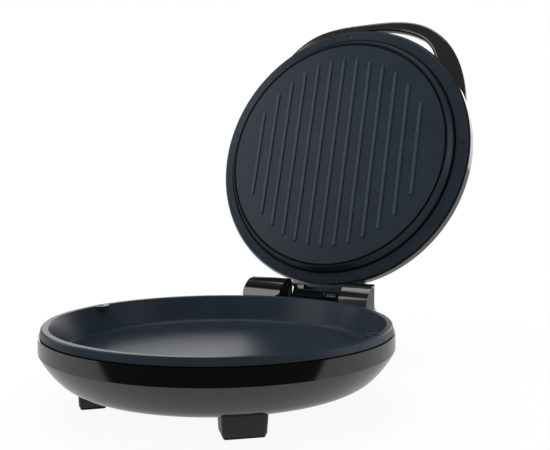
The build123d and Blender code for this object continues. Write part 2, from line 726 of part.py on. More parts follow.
def tower_block(left, right, inset):
    """Tower between two planes across X, inset from its outer skin: round about the hinge axis
    in front, rounded at the back, and with round corners on its outer side."""
    inner_left, inner_right = left + inset, right - inset
    back = tower_back_y - inset
    top = hinge_z + tower_radius - inset
    bottom = rim_height + pod_top
    front = hinge_back - tower_radius + inset
    shoulder = top - tower_back_reach + inset
    with BuildPart() as block:
        with BuildSketch(Plane.YZ.offset(inner_left)):
            with BuildLine():
                Polyline((front, hinge_z), (front, bottom), (back, bottom), (back, shoulder))
                RadiusArc((back, shoulder), (hinge_back, top), -tower_back_reach + inset)
                RadiusArc((hinge_back, top), (front, hinge_z), -tower_radius + inset)
            make_face()
        extrude(amount=inner_right - inner_left)
        # rounded outline from above
        with BuildSketch(Plane.XY.offset(bottom)) as outline:
            with Locations(((inner_left + inner_right) / 2, (front + back) / 2)):
                Rectangle(inner_right - inner_left, back - front)
            outer_corners = outline.vertices().group_by(Axis.X)[-1 if right > 0 else 0].sort_by(Axis.Y)
            fillet(outer_corners[0], radius=tower_front_corner - inset)
            outer_corners = outline.vertices().group_by(Axis.Y)[-1].sort_by(Axis.X)
            fillet(outer_corners[-1 if right > 0 else 0], radius=tower_back_corner - inset)
        extrude(amount=top - bottom, mode=Mode.INTERSECT)
        # and from the front
        with BuildSketch(Plane.XZ.offset(-back)) as face:
            with Locations(((inner_left + inner_right) / 2, (bottom + top) / 2)):
                Rectangle(inner_right - inner_left, top - bottom)
            upper_corners = face.vertices().group_by(Axis.Y)[-1].sort_by(Axis.X)
            fillet(upper_corners[-1 if right > 0 else 0], radius=tower_upper_corner - inset)
        extrude(amount=back - front, mode=Mode.INTERSECT)
    return block.part


def tower(left, right):
    """Hinge tower cover: open below, over one end of the hinge rod."""
    base_z = rim_height + pod_top
    height = tower_top - pod_top
    swing = housing_radius + lid_swing_clearance
    posts = [(x, y) for x, y in tower_screw_spots if left < x < right]
    with BuildPart() as room:
        add(tower_block(left, right, tower_wall))
        # its front wall follows the closed lid
        with BuildSketch(Plane.XY.offset(base_z)):
            Circle(swing + tower_wall)
        extrude(amount=height, mode=Mode.SUBTRACT)
    with BuildPart() as cover:
        add(tower_block(left, right, 0))
        add(room.part, mode=Mode.SUBTRACT)
        with BuildSketch(Plane.XY.offset(base_z)):
            Circle(swing)
        extrude(amount=height, mode=Mode.SUBTRACT)
        with BuildPart(mode=Mode.PRIVATE) as screw_posts:
            with BuildSketch(Plane.XY.offset(base_z)):
                with Locations(posts):
                    Circle(post_radius)
            extrude(amount=height)
            add(tower_block(left, right, tower_wall / 2), mode=Mode.INTERSECT)
        add(screw_posts.part)
        with BuildSketch(Plane.XY.offset(base_z)):
            with Locations(posts):
                Circle(screw_radius)
        extrude(amount=thread_length + pod_wall, mode=Mode.SUBTRACT)
        # upper half of the rod's saddle
        with BuildSketch(Plane.YZ.offset(-rod_half_length - play)):
            with Locations((hinge_back, hinge_z)):
                Circle(rod_radius + rod_clearance)
        extrude(amount=2 * (rod_half_length + play), mode=Mode.SUBTRACT)
    return cover


save(tower(tower_right_x, tower_outer_x), "hinge_tower_right")
save(tower(-tower_outer_x, tower_left_x), "hinge_tower_left")
tower_screw_plane = Plane(origin=(0, 0, rim_height + pod_top - pod_wall - screw_head_height),
                          x_dir=(1, 0, 0), z_dir=(0, 0, -1))
save(screws(tower_screw_plane, [(x, -y) for x, y in tower_screw_spots],
            screw_head_height + pod_wall + thread_length), "tower_screws")

# Bridge beside the right tower, with its hole and its window. The arm's knuckle is at its left.
with BuildPart() as hinge_bridge:
    with BuildSketch(Plane.XZ.offset(-bridge_front_y)):
        with Locations(((bridge_left_x + tower_right_x) / 2, rim_height + (bridge_top + pod_top) / 2)):
            Rectangle(tower_right_x - bridge_left_x, bridge_top - pod_top)
        with Locations((window_x, rim_height + bridge_top - window_drop)):
            Rectangle(window_size[0], window_size[1], mode=Mode.SUBTRACT)
        with Locations((bridge_hole_x, rim_height + bridge_top - bridge_hole_drop)):
            Circle(bridge_hole_radius, mode=Mode.SUBTRACT)
    extrude(amount=-bridge_thickness)
    chamfer(hinge_bridge.edges().filter_by(Axis.X).group_by(Axis.Z)[-1], length=bridge_chamfer)
save(hinge_bridge, "hinge_bridge")

# Hinge rod, held in the saddles under the towers.
with BuildPart() as hinge_rod:
    with BuildSketch(Plane.YZ.offset(-rod_half_length)):
        with Locations((hinge_back, hinge_z)):
            Circle(rod_radius)
    extrude(amount=2 * rod_half_length)
    chamfer(hinge_rod.edges(), length=rod_radius / 6)
save(hinge_rod, "hinge_rod")

# Posts inside the lid: under the plate's screws and the reflector.
with BuildPart() as lid_posts:
    with BuildSketch(lid_frame.offset(lid_back)):
        with Locations(plate_screw_spots):
            Circle(plate_post_radius)
    extrude(amount=plate_post_top - lid_back)
    with BuildSketch(lid_frame.offset(lid_back)):
        with Locations(reflector_spots):
            Circle(post_radius)
    extrude(amount=lid_reflector_level - lid_back)
    add(lid_inside, mode=Mode.INTERSECT)

arm_screw_x = arm_screw_spacing / 2
arm_screw_seat = sqrt((housing_radius - housing_wall) ** 2 - (arm_screw_x + screw_head_radius) ** 2)
arm_screw_origin = lid_frame.from_local_coords((0, screw_head_height - arm_screw_seat, arm_screw_level))
arm_screw_plane = Plane(origin=arm_screw_origin, x_dir=lid_frame.x_dir, z_dir=lid_frame.y_dir)
arm_screw_spots = [(-arm_screw_x, 0), (arm_screw_x, 0)]

# Lid shell: a bowl like the base.
with BuildPart() as lid_housing:
    add(lid_outside)
    add(lid_inside, mode=Mode.SUBTRACT)
    add(lid_posts.part)
    with BuildSketch(lid_frame.offset(plate_post_top)):
        with Locations(plate_screw_spots):
            Circle(screw_radius + play)
    extrude(amount=-plate_screw_length, mode=Mode.SUBTRACT)
    with BuildSketch(lid_frame.offset(lid_reflector_level)):
        with Locations(reflector_spots):
            Circle(screw_radius)
    extrude(amount=-thread_length, mode=Mode.SUBTRACT)
    with BuildSketch(lid_frame.offset(lid_back)):
        with Locations(lamp_spots):
            Circle(lens_radius + play)
    extrude(amount=housing_wall, mode=Mode.SUBTRACT)
    with BuildSketch(arm_screw_plane):
        with Locations(arm_screw_spots):
            Circle(screw_radius + play)
    extrude(amount=-screw_head_height - 3 * housing_wall, mode=Mode.SUBTRACT)
save(lid_housing, "lid_housing")


def mirrored_spots(outline):
    """Points of a loop's right half, given by angle and stand-off, and the same on the left."""
    right = [(radius * cos(radians(angle)), radius * sin(radians(angle)))
             for angle, radius in ((angle, housing_radius + reach) for angle, reach in outline)]
    return right + [(-u, v) for u, v in reversed(right[:-1])]


# Handle: a wide loop on the lid's belly, flush with its back, its front edges well rounded.
with BuildPart() as lid_handle:
    with BuildSketch(lid_frame.offset(lid_back)):
        with BuildLine():
            loop = mirrored_spots(handle_outline)
            Spline(*loop)
            Line(loop[-1], loop[0])
        make_face()
        with BuildLine():
            slot = mirrored_spots(slot_outline)
            Spline(*slot)
            ThreePointArc(slot[-1], (0, housing_radius + slot_outline[0][1]), slot[0])
        make_face(mode=Mode.SUBTRACT)
    extrude(amount=handle_thickness)
    front_edges = lid_handle.faces().sort_by(Axis(lid_frame.origin, lid_frame.z_dir))[-1].edges()
    fillet(front_edges.sort_by(Edge.length)[-3:], radius=handle_front_round)
    add(lid_outside, mode=Mode.SUBTRACT)
save(lid_handle, "lid_handle")

# Upper plate: sloping flange, proud plateau and ridges that run from the hinge to the handle.
with BuildPart() as lid_plate:
    with BuildSketch(frame_section(lid_frame)):
        with BuildLine():
            half_groove = groove_width / 2
            groove_floor = plateau_height - groove_depth
            flange_under = -groove_depth - plate_wall
            edge_chamfer = plate_edge / 2
            Polyline((0, plateau_height), (groove_radius - half_groove, plateau_height),
                     (groove_radius - half_groove, groove_floor),
                     (groove_radius + half_groove, groove_floor),
                     (groove_radius + half_groove, plateau_height), (plateau_radius, plateau_height - play),
                     (plateau_foot_radius, 0), (plateau_foot_radius, -groove_depth),
                     (plateau_foot_radius + groove_width, -groove_depth),
                     (plateau_foot_radius + groove_width, -play),
                     (flange_radius - edge_chamfer, -flange_fall + edge_chamfer),
                     (flange_radius, -flange_fall), (flange_radius, -flange_fall - plate_edge),
                     (flange_radius - plate_wall, -flange_fall - plate_edge),
                     (plateau_foot_radius, flange_under), (plateau_foot_radius - plate_wall, flange_under),
                     (plateau_radius - plate_wall, plate_underside - groove_depth),
                     (groove_radius - plate_wall, plate_underside - groove_depth),
                     (groove_radius - 2 * plate_wall, plate_underside), (0, plate_underside), close=True)
        make_face()
    revolve(axis=frame_axis(lid_frame))
    for count in range(-ridges_each_side, ridges_each_side + 1):
        ridge_u = count * ridge_pitch
        with BuildSketch(lid_frame.offset(plateau_height)):
            with Locations((ridge_u, 0)):
                SlotOverall(2 * sqrt(ridge_circle_radius ** 2 - ridge_u ** 2), ridge_width, rotation=90)
        extrude(amount=ridge_height)
    crests = lid_plate.edges().filter_by(
        lambda edge: lid_frame.to_local_coords(edge.center()).Z > plateau_height + ridge_height - play)
    fillet(crests, radius=ridge_round)
    with BuildSketch(lid_frame):
        with Locations(plate_screw_spots):
            Circle(screw_head_radius + 2 * play)
    extrude(amount=-plate_screw_sink - screw_head_height, mode=Mode.SUBTRACT)
    with BuildSketch(lid_frame):
        with Locations(plate_screw_spots):
            Circle(screw_radius + play)
    extrude(amount=plate_post_top, mode=Mode.SUBTRACT)
save(lid_plate, "lid_plate")

save(screws(lid_frame.offset(-plate_screw_sink), plate_screw_spots, plate_screw_length), "lid_plate_screws")
save(heating_element(lid_frame, lid_element_level, -1), "lid_heating_element")
save(element_clamps(lid_frame, plate_underside, (90, 0, 180)), "lid_element_clamps")
save(reflector(lid_frame, lid_reflector_level), "lid_reflector")
save(reflector_screws(lid_frame, lid_reflector_level), "lid_reflector_screws")
save(thermostat(lid_frame, plate_underside), "lid_thermostat")

# Lamp lenses, seen on the lid's back near the handle, and the holder behind them.
for name, spot in zip(("power_lamp_lens", "ready_lamp_lens"), lamp_spots):
    with BuildPart() as lens:
        with BuildSketch(lid_frame.offset(inner_back)):
            with Locations(spot):
                Circle(lens_radius + lens_collar)
        extrude(amount=lens_collar)
        with BuildSketch(lid_frame.offset(inner_back)):
            with Locations(spot):
                Circle(lens_radius)
        extrude(amount=-housing_wall - lens_stand)
        tip = lens.faces().sort_by(Axis(lid_frame.origin, lid_frame.z_dir))[0]
        fillet(tip.edges(), radius=0.9 * lens_stand)
    save(lens, name)

with BuildPart() as lamp_holder:
    with BuildSketch(lid_frame.offset(inner_back + lens_collar)):
        with Locations((0, lamp_spots[0][1])):
            RectangleRounded(lamp_spacing + lamp_holder_margin, lamp_holder_width, lamp_holder_corner)
    extrude(amount=lamp_holder_depth)
save(lamp_holder, "lamp_holder")

# Lid's hinge arm: from the shell over the bridge to the barrel on the rod.
with BuildPart() as lid_hinge_arm:
    with BuildSketch(arm_frame.offset(arm_shift - arm_half_width)):
        with BuildLine():
            shell_back = flange_radius + play - hinge_back
            over_bridge = bridge_top + hinge_drop + bridge_clearance
            lip_under = lid_gap + hinge_drop + arm_lip
            lip_back = bridge_front_y - arm_lip_depth - hinge_back
            Polyline((-barrel_radius, 0), (-barrel_radius, over_bridge), (lip_back, over_bridge),
                     (lip_back, lip_under), (shell_back, lip_under), (shell_back, arm_top + arm_lip / 2),
                     (-arm_crown, arm_top), (0, arm_top - arm_lip / 2), heel, (barrel_radius, 0))
            RadiusArc((barrel_radius, 0), (-barrel_radius, 0), barrel_radius)
        make_face()
        Circle(rod_radius + rod_clearance, mode=Mode.SUBTRACT)
    extrude(amount=2 * arm_half_width)
    # knuckle at the left end
    with BuildSketch(arm_frame.offset(arm_shift - arm_half_width)):
        Polygon((-barrel_radius, 0), (-barrel_radius, over_bridge), (lip_back, over_bridge),
                (lip_back, knuckle_level), align=None)
    extrude(amount=knuckle_width)
    # shoulders, clear of the towers over the whole swing
    with BuildSketch(arm_frame.offset(arm_shift - arm_half_width - arm_shoulder)):
        band_under = lid_gap + hinge_drop - lid_band_top
        shell_side = shell_back - arm_shoulder / 2
        Polygon((lip_back, lip_under), (shell_back, lip_under), (shell_back, band_under),
                (shell_side, band_under), (shell_side, arm_top), (lip_back, arm_top), align=None)
        Circle(tower_radius + lid_swing_clearance, mode=Mode.SUBTRACT)
    extrude(amount=2 * (arm_half_width + arm_shoulder))
    add(lid_outside, mode=Mode.SUBTRACT)
    with BuildSketch(arm_screw_plane):
        with Locations(arm_screw_spots):
            Circle(screw_radius)
    extrude(amount=-screw_head_height - arm_screw_length, mode=Mode.SUBTRACT)
save(lid_hinge_arm, "lid_hinge_arm")
save(screws(arm_screw_plane, arm_screw_spots, arm_screw_length), "arm_screws")
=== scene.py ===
# %% [markdown]
# # An electric pizza maker, dressed in Blender
# The construction comes finished: every piece at its real size, grouped on two bodies, the base
# and the lid, with one hinge between them. What is left for Blender is what the eye sees: the
# camera, the studio, the finish of each surface, and the heads of the screws, which are too
# small and too finely cut to be worth drawing as construction.

# %% Load the construction
import json
from math import cos, pi, radians, sin

import bmesh
import bpy
from mathutils import Matrix, Vector


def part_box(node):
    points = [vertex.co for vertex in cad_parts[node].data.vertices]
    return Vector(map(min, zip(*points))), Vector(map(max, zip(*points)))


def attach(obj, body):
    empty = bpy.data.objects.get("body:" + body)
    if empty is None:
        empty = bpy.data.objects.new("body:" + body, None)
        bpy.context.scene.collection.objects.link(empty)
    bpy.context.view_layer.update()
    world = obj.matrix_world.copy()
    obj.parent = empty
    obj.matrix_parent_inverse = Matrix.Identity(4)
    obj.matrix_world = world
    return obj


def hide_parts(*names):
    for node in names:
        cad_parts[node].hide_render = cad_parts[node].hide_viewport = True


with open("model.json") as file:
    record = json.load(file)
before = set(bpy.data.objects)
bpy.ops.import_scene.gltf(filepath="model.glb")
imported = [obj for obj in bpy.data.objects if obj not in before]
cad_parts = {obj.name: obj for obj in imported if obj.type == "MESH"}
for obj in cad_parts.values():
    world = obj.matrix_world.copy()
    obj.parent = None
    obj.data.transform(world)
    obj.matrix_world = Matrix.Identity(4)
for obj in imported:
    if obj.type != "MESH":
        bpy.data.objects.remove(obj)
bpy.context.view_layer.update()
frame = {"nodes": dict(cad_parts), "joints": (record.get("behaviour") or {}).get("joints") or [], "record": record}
nodes = frame["nodes"]
print("pieces of the construction:", len(nodes))

# %% [markdown]
# ## The camera
# The photograph was taken from the front right, a little above the rim of the pan, and close
# enough that the near foot looks larger than the far one. Its place and its focal length were
# solved from the ellipses of the pan and the lid, so here they are plain numbers: the direction
# it looks in, where it stands, and how many picture widths away the picture plane lies.

# %% Place the camera
view_azimuth = radians(30.60)
view_elevation = radians(2.60)
view_roll = radians(0.08)
camera_place = Vector((0.40512, -0.57993, 0.19785))
focal_length_in_widths = 1.3298
sensor_width = 36
nearest_in_view = 0.01

camera_data = bpy.data.cameras.new("photograph_view")
camera_data.sensor_fit = "HORIZONTAL"
camera_data.sensor_width = sensor_width
camera_data.lens = focal_length_in_widths * sensor_width
camera_data.clip_start = nearest_in_view
camera = bpy.data.objects.new("photograph_view", camera_data)
look = Matrix.Rotation(view_azimuth, 4, "Z") @ Matrix.Rotation(pi / 2 - view_elevation, 4, "X")
camera.matrix_world = Matrix.Translation(camera_place) @ look @ Matrix.Rotation(view_roll, 4, "Z")
bpy.context.scene.collection.objects.link(camera)
bpy.context.scene.camera = camera
bpy.context.scene.view_settings.view_transform = "Standard"
print("focal length on a 36 mm sensor:", round(camera_data.lens, 2))

# %% [markdown]
# ## Shader maths in Python
# A finish is a small graph of nodes. Arithmetic reads better as arithmetic, so a socket is
# wrapped in a class that knows `+`, `-`, `*`, `>` and `abs`: each expression adds its Math
# nodes. Every other node comes from one method, which sets the node's own settings before its
# sockets. The few kinds of node that come back again and again have a short name each.

# %% Sockets that can be added and multiplied
class Value:
    """An output socket of a node, ready for Python arithmetic."""

    def __init__(self, graph, socket):
        self.graph = graph
        self.socket = socket

    def __add__(self, other):
        return self.graph.maths("ADD", self, other)

    def __sub__(self, other):
        return self.graph.maths("SUBTRACT", self, other)

    def __rsub__(self, other):
        return self.graph.maths("SUBTRACT", other, self)

    def __mul__(self, other):
        return self.graph.maths("MULTIPLY", self, other)

    def __gt__(self, level):
        return self.graph.maths("GREATER_THAN", self, level)

    def __abs__(self):
        return self.graph.maths("ABSOLUTE", self)

    __radd__ = __add__
    __rmul__ = __mul__


print("sockets know +, -, *, > and abs")

# %% [markdown]
# A node tree has one call that matters: add a node, set it, and link or fill its sockets.
# Everything longer is a short name for such a call, so that a finish further down reads as a
# list of what it does, and not of how Blender stores it.

# %% A graph of nodes
class Graph:
    """A node tree with one way to add a node, and short names for the usual nodes."""

    def __init__(self, tree):
        self.tree = tree

    def node(self, kind, settings=None, inputs=None, output=0):
        """Add a node: its settings first, then the values or links of its sockets."""
        new = self.tree.nodes.new(kind)
        for name, value in (settings or {}).items():
            if name == "stops":
                self.set_stops(new, value)
            else:
                setattr(new, name, value)
        for key, value in (inputs or {}).items():
            self.feed(new.inputs[key], value)
        return Value(self, new.outputs[output])

    def set_stops(self, ramp_node, stops):
        """Give a ramp its (position, level) stops, as greys."""
        elements = ramp_node.color_ramp.elements
        while len(elements) < len(stops):
            elements.new(1.0)
        for element, (position, level) in zip(elements, stops):
            element.position = position
            element.color = (level, level, level, 1)

    def feed(self, socket, value):
        """Link a value to a socket, or set the socket where the value is a constant."""
        if isinstance(value, Value):
            self.tree.links.new(value.socket, socket)
        else:
            socket.default_value = value

    def maths(self, operation, *values):
        """One Math node."""
        return self.node("ShaderNodeMath", {"operation": operation}, dict(enumerate(values)))

    def vector(self, operation, *values, output="Vector"):
        """One Vector Math node."""
        settings = {"operation": operation}
        return self.node("ShaderNodeVectorMath", settings, dict(enumerate(values)), output)

    def along(self, place, direction):
        """How far a place lies along a direction."""
        return self.vector("DOT_PRODUCT", place, direction, output="Value")

    def length(self, arrow):
        """How long a vector is."""
        return self.vector("LENGTH", arrow, output="Value")

    def fade(self, value, start, end, first=0.0, last=1.0):
        """A soft step: the first level up to the start, and the last level from the end on."""
        return self.node("ShaderNodeMapRange", {"interpolation_type": "SMOOTHSTEP"},
                         {"Value": value, "From Min": start, "From Max": end,
                          "To Min": first, "To Max": last})

    def ray(self, kind):
        """1 for a ray of that kind: Camera, Glossy or Transmission."""
        return self.node("ShaderNodeLightPath", output="Is " + kind + " Ray")


print("a graph has one way to add a node")

# %% [markdown]
# A finish is a material with its Principled shader. What is the same all over the surface is set
# on the shader's own sockets, and what varies is fed to its colour, roughness or normal. Noise is
# laid out in the piece's own coordinates, in metres, so each grain has a real size.

# %% A material with its shader
mix_share, mix_first, mix_second = 0, 6, 7      # the Mix node's inputs that mix colours
mixed_colour = 2                                # and its output
shader_sockets = {"colour": "Base Color", "roughness": "Roughness", "normal": "Normal"}


class Finish(Graph):
    """A material: its Principled shader, with constants set and the rest fed by nodes."""

    def __init__(self, name, constants):
        self.material = bpy.data.materials.new(name)
        self.material.use_nodes = True
        super().__init__(self.material.node_tree)
        self.shader = self.tree.nodes["Principled BSDF"]
        for socket, value in constants.items():
            self.shader.inputs[socket].default_value = value
        self.place = self.node("ShaderNodeTexCoord", output="Object")

    def noise(self, grain_size, detail=2.0, roughness=0.5, stretch=(1, 1, 1)):
        """Noise from 0 to 1 whose grains are about that large, in metres."""
        mapped = self.node("ShaderNodeMapping", {"vector_type": "POINT"},
                           {"Vector": self.place, "Scale": stretch})
        return self.node("ShaderNodeTexNoise", {"noise_dimensions": "3D"},
                         {"Vector": mapped, "Scale": 1 / grain_size, "Detail": detail,
                          "Roughness": roughness})

    def ramp(self, value, *stops):
        """A value sent through a ramp of (position, level) stops."""
        return self.node("ShaderNodeValToRGB", {"stops": stops}, {"Fac": value})

    def mix(self, share, first, second):
        """A colour between two, each a constant or a link."""
        return self.node("ShaderNodeMix", {"data_type": "RGBA", "blend_type": "MIX"},
                         {mix_share: share, mix_first: first, mix_second: second},
                         output=mixed_colour)

    def bump(self, height, strength, depth):
        """A normal that follows small heights, in metres."""
        return self.node("ShaderNodeBump", None,
                         {"Height": height, "Strength": strength, "Distance": depth})

    def shade(self, **links):
        """Feed the shader's colour, roughness and normal."""
        for name, value in links.items():
            self.feed(self.shader.inputs[shader_sockets[name]], value)
        return self.material


def colour(red, green, blue):
    """A colour for a socket, fully opaque."""
    return (red, green, blue, 1.0)


print("what a finish feeds:", ", ".join(shader_sockets.values()))

# %% [markdown]
# ## The studio
# A product photograph of a black object on white is mostly a picture of what the object
# reflects. Three things make this one: a white table, which the belly of the housing mirrors, a
# white backdrop low down behind, which shines on the pan's floor, and a dark room at the front,
# where the camera stands. The backdrop stops short at the left, so the right wall of the pan
# stays dark. White cards could stand round the object instead, but the world can be painted by
# direction, and then nothing gets in the way of another view.

# %% The room
front = Vector((sin(view_azimuth), -cos(view_azimuth), 0))
left = Vector((-cos(view_azimuth), -sin(view_azimuth), 0))
room_level = 0.80                # the light that comes from everywhere
backdrop_level = 2.0             # what a gloss mirrors from behind
front_level = 0.24               # and from the front
ceiling_share = 0.10             # of the backdrop's level, overhead
left_share = 0.05                # of the backdrop's level, at the left
backdrop_ends = (-0.10, 0.45)    # along the direction to the camera
ceiling_starts = (0.20, 0.50)    # upwards
left_starts = (0.30, 0.65)       # along the direction to the left

world = bpy.data.worlds.new("studio")
world.use_nodes = True
bpy.context.scene.world = world
room = Graph(world.node_tree)
direction = room.node("ShaderNodeTexCoord", output="Generated")
upwards = room.node("ShaderNodeSeparateXYZ", None, {0: direction}, output="Z")
behind = room.fade(room.along(direction, front), *backdrop_ends, 1.0, 0.0)
overhead_share = room.fade(upwards, *ceiling_starts, 1.0, ceiling_share)
beside = room.fade(room.along(direction, left), *left_starts, 1.0, left_share)
seen = room.ray("Camera")
glossy = room.ray("Glossy")
passing = room.ray("Transmission")
mirror_level = behind * overhead_share * beside * backdrop_level + (1 - behind) * front_level
strength = seen + passing + glossy * mirror_level + (1 - seen - passing - glossy) * room_level
background = room.tree.nodes["Background"]
background.inputs["Color"].default_value = colour(1, 1, 1)
room.feed(background.inputs["Strength"], strength)
print("room level:", room_level, "backdrop level:", backdrop_level)

# %% [markdown]
# ## The table
# The cooker stands on white paper that has no visible end. To the camera the paper is almost
# pure white, and keeps only a soft shadow under the belly. In a reflection it ends a little in
# front of the cooker's rim, and that edge draws the broad dark shape on the housing's band. Real
# paper can't do both. One plane can do it here, because a shader may answer a camera ray and a
# mirrored ray differently.

# %% The paper and its reflection
floor_size = 12.0
table_edge = 0.235               # in front of the pan's middle
table_level = 0.64               # how white its reflection is
near_glow, far_glow = 0.93, 1.0  # how much of the paper's own white the camera sees
glow_reach = (0.35, 1.1)         # from the pan's middle

mesh = bpy.data.meshes.new("floor")
floor_shape = bmesh.new()
bmesh.ops.create_grid(floor_shape, x_segments=1, y_segments=1, size=floor_size / 2)
floor_shape.to_mesh(mesh)
floor_shape.free()
floor = bpy.data.objects.new("floor", mesh)
bpy.context.scene.collection.objects.link(floor)

paper = Finish("studio_floor", {"Base Color": colour(0.82, 0.82, 0.82), "Roughness": 0.9,
                                "Specular IOR Level": 0.1})
glow = paper.fade(paper.length(paper.place), *glow_reach, near_glow, far_glow)
beyond_edge = paper.along(paper.place, front) > table_edge
lit = Value(paper, paper.shader.outputs["BSDF"])
white = paper.node("ShaderNodeEmission", None, {"Color": colour(1, 1, 1), "Strength": 1.0})
bright = paper.node("ShaderNodeEmission", None, {"Color": colour(1, 1, 1), "Strength": table_level})
dark = paper.node("ShaderNodeBsdfDiffuse", None, {"Color": colour(0.004, 0.004, 0.005)})
looked = paper.node("ShaderNodeMixShader", None, {0: paper.ray("Camera") * glow, 1: lit, 2: white})
reflected = paper.node("ShaderNodeMixShader", None, {0: beyond_edge, 1: bright, 2: dark})
ground = paper.node("ShaderNodeMixShader", None, {0: paper.ray("Glossy"), 1: looked, 2: reflected})
paper.feed(paper.tree.nodes["Material Output"].inputs["Surface"], ground)
mesh.materials.append(paper.material)
print("floor:", floor_size, "m, white in reflections up to", table_edge, "m")

# %% [markdown]
# ## The lamps
# Four soft boxes add to the room's light: one overhead, one at the right, and two at the left,
# which look at the upper plate and model its ridges. Their size matters more than their power,
# since the plate's satin spreads each box into a broad sheen. A sun or a small lamp would put a
# hard spot there instead.

# %% Four soft boxes
def soft_lamp(name, place, target, width, height, watts):
    """A rectangular soft box that looks at a point."""
    data = bpy.data.lights.new(name, "AREA")
    data.shape = "RECTANGLE"
    data.size = width
    data.size_y = height
    data.energy = watts
    lamp = bpy.data.objects.new(name, data)
    aim = (Vector(target) - Vector(place)).to_track_quat("-Z", "Y")
    lamp.matrix_world = Matrix.Translation(place) @ aim.to_matrix().to_4x4()
    bpy.context.scene.collection.objects.link(lamp)
    print(name, "gives", watts, "W")


plate_middle = sum(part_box("lid_plate"), Vector()) / 2
soft_lamp("overhead_box", place=(-0.2, 0.5, 1.8), target=(0, 0.05, 0.05),
          width=1.4, height=1.0, watts=10)
soft_lamp("right_box", place=(1.6, 0.5, 0.6), target=(0, 0, 0.1),
          width=0.6, height=0.9, watts=3)
soft_lamp("front_left_box", place=(-1.05, -0.83, 0.98), target=plate_middle,
          width=0.8, height=1.0, watts=6)
soft_lamp("left_box", place=(-1.4, 0.0, 1.05), target=plate_middle,
          width=0.3, height=0.9, watts=3.6)

# %% [markdown]
# ## The non-stick coating
# The pan and the upper plate are die-cast aluminium under a sprayed coating: a blue-black satin
# with a fine pebble and faint flecks. A picture of a real pan could be wrapped round them, but
# noise in the piece's own coordinates has no seams and keeps its grain at any distance. Slow
# clouds vary the colour and the gloss, a pebble of about a millimetre goes into the bump and
# a little into the gloss, and the flecks are the few places where a finer noise rises above a
# threshold.

# %% Colours and grains of the coating
coating_dark = colour(0.012, 0.019, 0.028)
coating_light = colour(0.019, 0.029, 0.041)
fleck = colour(0.07, 0.085, 0.10)
fleck_strength = 0.5
fleck_starts, fleck_full = 0.70, 0.76    # levels of the finest noise
cloud_size = 0.035
pebble_size = 0.0011
fleck_size = 0.0009
coating_roughness = 0.27
cloud_roughness = 0.04                   # what each noise adds to it
pebble_roughness = 0.05
print("clouds of", cloud_size, "m and a pebble of", pebble_size, "m")

# %% [markdown]
# The upper plate wears the same coat, but its relief shows in it. In the two rings, the groove
# and the foot of the plateau, shade is painted into the colour, and the gloss is duller. On the
# crests of the ridges a painted highlight makes the coat lighter. Both are worked out from where
# a point lies on the plate: how far from its middle, and how far it stands out towards the pan.

# %% Rings and crests of the upper plate
# colour of the painted shade in the plate's groove and at the foot of its plateau
painted_shade_colour = colour(0.0015, 0.002, 0.003)
# colour of the painted highlight on the crests of the plate's ridges
painted_highlight_colour = colour(0.040, 0.052, 0.066)
crest_highlight_strength = 0.8
crest_depth = 0.0013
# the rings, where shade is painted into the coat and its gloss is dulled
groove_rings = (0.1439, 0.1520)  # radii of the plate's groove and of its plateau's foot
ring_core = 0.00066              # half the width that is fully dull
ring_reach = 0.0022              # half the width that is dull at all
ring_dullness = 0.5
lid_lean = radians(frame["joints"][0]["range_deg"][1])
lid_outward = Vector((0, -sin(lid_lean), -cos(lid_lean)))


def painted_crest_highlight(finish):
    """From 0 to 1 on the crests of the plate's ridges: where the highlight is painted."""
    reach = max(corner.co.dot(lid_outward) for corner in nodes["lid_plate"].data.vertices)
    return finish.fade(finish.along(finish.place, lid_outward), reach - crest_depth, reach)


def painted_shade_in_rings(finish):
    """From 0 to 1 in the plate's two rings: where shade is painted and the gloss is dulled."""
    from_middle = finish.vector("SUBTRACT", finish.place, plate_middle)
    radius = finish.length(finish.vector("CROSS_PRODUCT", from_middle, lid_outward))
    shade = 0
    for ring in groove_rings:
        shade = shade + finish.fade(abs(radius - ring), ring_core, ring_reach, 1.0, 0.0)
    return shade


print("the plate faces", [round(part, 3) for part in lid_outward])

# %% [markdown]
# The coat is mixed from the inside out: the body colour, the flecks on it, and on the plate the
# painted highlight on the crests and the painted shade in the rings last. Pan and plate wear the
# same coat, so they share one function, and the plate only asks it for more.

# %% Spray the coating
def nonstick_coating(name, plate=False):
    """Sprayed coating on die-cast aluminium: satin, pebbled, faintly flecked."""
    finish = Finish(name, {"Specular IOR Level": 0.2, "IOR": 1.4})
    cloud = finish.noise(cloud_size, detail=4)
    pebble = finish.noise(pebble_size, detail=3, roughness=0.55)
    specks = finish.ramp(finish.noise(fleck_size, detail=1), (fleck_starts, 0), (fleck_full, 1))
    body = finish.mix(cloud, coating_dark, coating_light)
    tone = finish.mix(specks * fleck_strength, body, fleck)
    rough = coating_roughness + cloud * cloud_roughness + pebble * pebble_roughness
    if plate:
        shade = painted_shade_in_rings(finish)
        # painted highlight: the ridges' crests lightened to stand in for the light they catch
        tone = finish.mix(painted_crest_highlight(finish) * crest_highlight_strength, tone, painted_highlight_colour)
        # painted shade: the groove and the plateau's foot darkened as if in shadow
        tone = finish.mix(shade, tone, painted_shade_colour)
        rough = rough + shade * ring_dullness
    return finish.shade(colour=tone, roughness=rough,
                        normal=finish.bump(pebble, strength=0.35, depth=0.00008))


finishes = {}


def keep(slot, material):
    """Keep a material under the construction's name for its finish, and say how large it is."""
    finishes[slot] = material
    print(slot + ":", len(material.node_tree.nodes), "nodes")


keep("nonstick_coating", nonstick_coating("nonstick_coating"))
plate_coating = nonstick_coating("plate_coating", plate=True)
print("plate_coating:", len(plate_coating.node_tree.nodes), "nodes")

